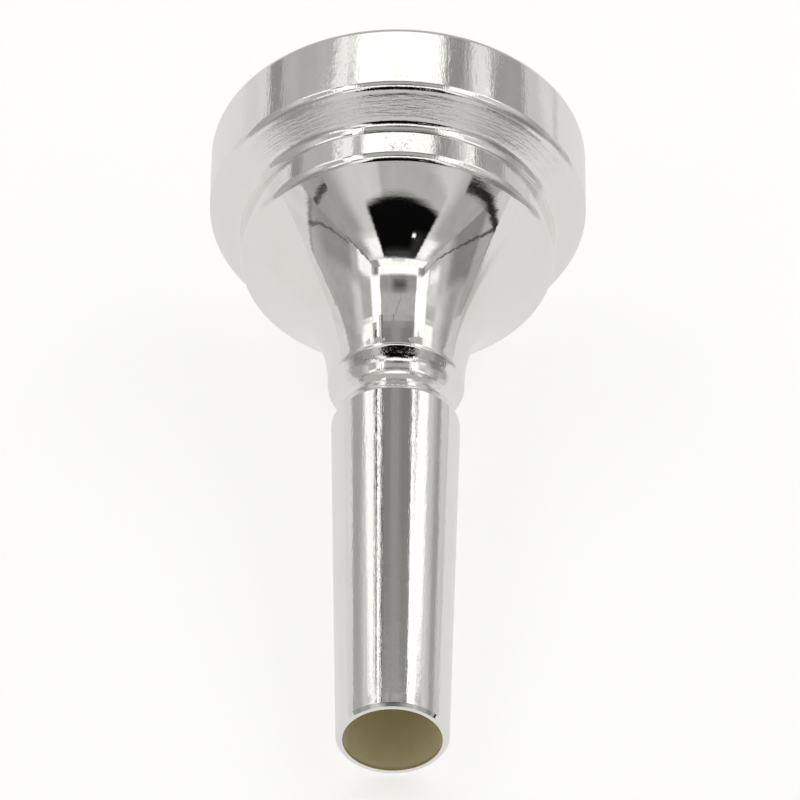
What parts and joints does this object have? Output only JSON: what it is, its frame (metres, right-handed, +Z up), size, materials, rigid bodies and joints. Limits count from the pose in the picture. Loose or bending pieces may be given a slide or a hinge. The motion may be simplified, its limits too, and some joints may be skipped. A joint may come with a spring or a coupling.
{
  "type": "tuba mouthpiece",
  "caption": "Tuba mouthpiece: a tapered shank, a flared cup with a collar and a screw-on rounded rim, lying on its side.",
  "frame": {"origin": "middle of the bounding box's base, on the surface the mouthpiece lies on", "axes": "+Z up; the mouthpiece's axis lies in the YZ plane with the rim towards +Y, the tip towards -Y, and the rim end raised 11.5 degrees because it rests on its rim and its tip"},
  "size_m": [0.0468, 0.0964, 0.0476],
  "materials": {
    "silver_plate": "polished"
  },
  "bodies": {
    "shank": {"shank": "silver_plate"},
    "cup": {"cup": "silver_plate"},
    "rim": {"rim": "silver_plate"}
  },
  "joints": [
    {"name": "cup_unscrew", "type": "slide", "parent": "shank", "child": "cup", "axis": [0, 0.9799, 0.1996], "range_m": [0, 0.025]},
    {"name": "rim_unscrew", "type": "slide", "parent": "cup", "child": "rim", "axis": [0, 0.9799, 0.1996], "range_m": [0, 0.025]}
  ]
}
